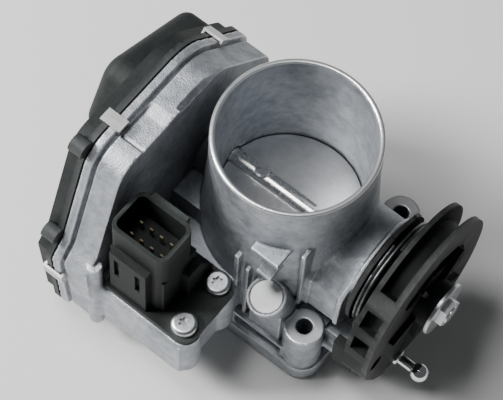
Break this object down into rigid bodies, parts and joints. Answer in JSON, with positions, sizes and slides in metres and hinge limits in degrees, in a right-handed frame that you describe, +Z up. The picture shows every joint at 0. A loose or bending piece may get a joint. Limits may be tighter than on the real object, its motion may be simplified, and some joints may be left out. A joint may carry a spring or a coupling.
{
  "type": "throttle body",
  "caption": "Cable-driven engine throttle body with a round inlet spigot, butterfly plate, cable pulley, side gear housing and upright electrical socket.",
  "frame": {"origin": "bore axis on the manifold flange's bottom face", "axes": "+Z up the bore towards the inlet rim, +X along the throttle shaft towards the cable pulley, -Y towards the connector side"},
  "size_m": [0.164, 0.1242, 0.1218],
  "materials": {
    "cast_aluminium": "satin as-cast, bead-blasted, machined at the rim and flange face",
    "bearing_steel": "ground",
    "seal_rubber": "matt black",
    "shaft_steel": "ground and plated",
    "plate_alloy": "rolled sheet, satin",
    "zinc_screws": "zinc plated",
    "spring_steel": "oil-blackened spring wire",
    "pulley_plastic": "moulded, fine grain",
    "cup_plastic": "moulded, fine grain",
    "cover_plastic": "glass-filled, satin",
    "connector_plastic": "moulded, smooth",
    "chrome_ball": "polished and chromed",
    "clip_steel": "bright spring steel",
    "terminal_brass": "tinned over brass",
    "gear_plastic": "natural acetal",
    "motor_can": "drawn and zinc plated",
    "board": "coated circuit board",
    "plug_aluminium": "turned"
  },
  "bodies": {
    "housing": {"throttle_casting": "cast_aluminium", "drive_side_bearing": "bearing_steel", "pulley_side_bearing": "bearing_steel", "drive_side_shaft_seal": "seal_rubber", "pulley_side_shaft_seal": "seal_rubber", "spring_cup": "cup_plastic", "return_spring": "spring_steel", "stop_screw": "zinc_screws", "stop_lock_nut": "zinc_screws", "core_plug": "plug_aluminium", "gear_cover": "cover_plastic", "cover_gasket": "seal_rubber", "cover_clips": "clip_steel", "connector_housing": "connector_plastic", "connector_seal": "seal_rubber", "connector_terminals": "terminal_brass", "connector_screws": "zinc_screws", "idle_motor": "motor_can", "motor_retainer": "clip_steel", "motor_screws": "zinc_screws", "idler_pin": "bearing_steel", "position_sensor_board": "board"},
    "throttle": {"throttle_shaft": "shaft_steel", "throttle_plate": "plate_alloy", "plate_screws": "zinc_screws", "cable_pulley": "pulley_plastic", "shaft_washer": "zinc_screws", "shaft_nut": "zinc_screws", "ball_stud": "chrome_ball", "position_wiper": "cup_plastic"},
    "idle_sector": {"idle_sector": "gear_plastic"},
    "idler": {"idler_gear": "gear_plastic"},
    "motor_rotor": {"motor_pinion": "zinc_screws"}
  },
  "joints": [
    {"name": "throttle_turn", "type": "hinge", "parent": "housing", "child": "throttle", "pos_m": [0, 0, 0.058], "axis": [-1, 0, 0], "range_deg": [0, 82], "stiffness_Nm_per_rad": 0.12, "springref_deg": -91.67},
    {"name": "idle_sector_turn", "type": "hinge", "parent": "housing", "child": "idle_sector", "pos_m": [-0.0485, 0, 0.058], "axis": [-1, 0, 0], "range_deg": [0, 20]},
    {"name": "idler_turn", "type": "hinge", "parent": "housing", "child": "idler", "pos_m": [-0.05, -0.03603, 0.04594], "axis": [-1, 0, 0], "range_deg": [-108, 0]},
    {"name": "motor_turn", "type": "hinge", "parent": "housing", "child": "motor_rotor", "pos_m": [-0.054, -0.058, 0.034], "axis": [-1, 0, 0], "range_deg": [0, 430]}
  ],
  "couplings": [
    {"joint": "idler_turn", "follows": "idle_sector_turn", "ratio": -5.3333},
    {"joint": "motor_turn", "follows": "idle_sector_turn", "ratio": 21.333}
  ]
}
